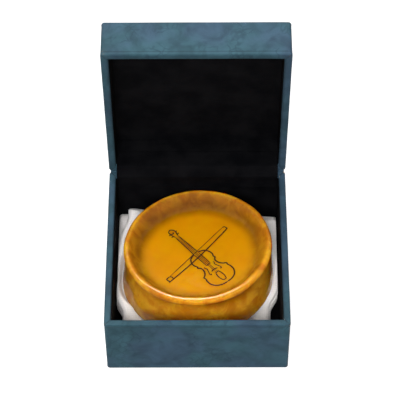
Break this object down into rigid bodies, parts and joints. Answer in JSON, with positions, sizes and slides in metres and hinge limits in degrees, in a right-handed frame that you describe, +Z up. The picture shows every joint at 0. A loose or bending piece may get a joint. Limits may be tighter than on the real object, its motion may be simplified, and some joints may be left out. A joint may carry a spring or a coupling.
{
  "type": "boxed rosin cake",
  "caption": "Round amber rosin cake with a raised rim, lying on a folded white cloth in an open hinged presentation box covered in mottled blue paper with a black lining.",
  "frame": {"origin": "middle of the tray's underside, on the surface that the box stands on", "axes": "+Z up; -Y towards the front edge that the lid opens from; +X to the right"},
  "size_m": [0.061, 0.0776, 0.0912],
  "materials": {
    "greyboard": "matte",
    "kraft_tape": "matte",
    "cover_paper": "satin",
    "foot_paper": "matte",
    "lining_paper": "matte",
    "cloth": "matte",
    "rosin": "gloss",
    "mark": "satin"
  },
  "bodies": {
    "tray": {"tray_floor_board": "greyboard", "tray_front_board": "greyboard", "tray_back_board": "greyboard", "tray_left_board": "greyboard", "tray_right_board": "greyboard", "tray_corner_stays": "kraft_tape", "tray_cover_paper": "cover_paper", "tray_foot_paper": "foot_paper", "tray_wall_lining": "lining_paper", "tray_floor_lining": "lining_paper", "spine_strip": "cover_paper", "joint_lining": "lining_paper"},
    "lid": {"lid_top_board": "greyboard", "lid_front_board": "greyboard", "lid_back_board": "greyboard", "lid_left_board": "greyboard", "lid_right_board": "greyboard", "lid_corner_stays": "kraft_tape", "lid_cover_paper": "cover_paper", "lid_wall_lining": "lining_paper", "lid_ceiling_lining": "lining_paper"},
    "cloth": {"polishing_cloth": "cloth"},
    "cake": {"rosin_cake": "rosin", "cake_mark": "mark"}
  },
  "joints": [
    {"name": "lid_hinge", "type": "hinge", "parent": "tray", "child": "lid", "pos_m": [0, 0.032, 0.0265], "axis": [1, 0, 0], "range_deg": [0, 86.5], "deforming": ["spine_strip", "joint_lining"]},
    {"name": "cloth_lift", "type": "slide", "parent": "tray", "child": "cloth", "axis": [0, 0, 1], "range_m": [0, 0.004]},
    {"name": "cake_lift", "type": "slide", "parent": "cloth", "child": "cake", "axis": [0, 0, 1], "range_m": [0, 0.0065]}
  ]
}
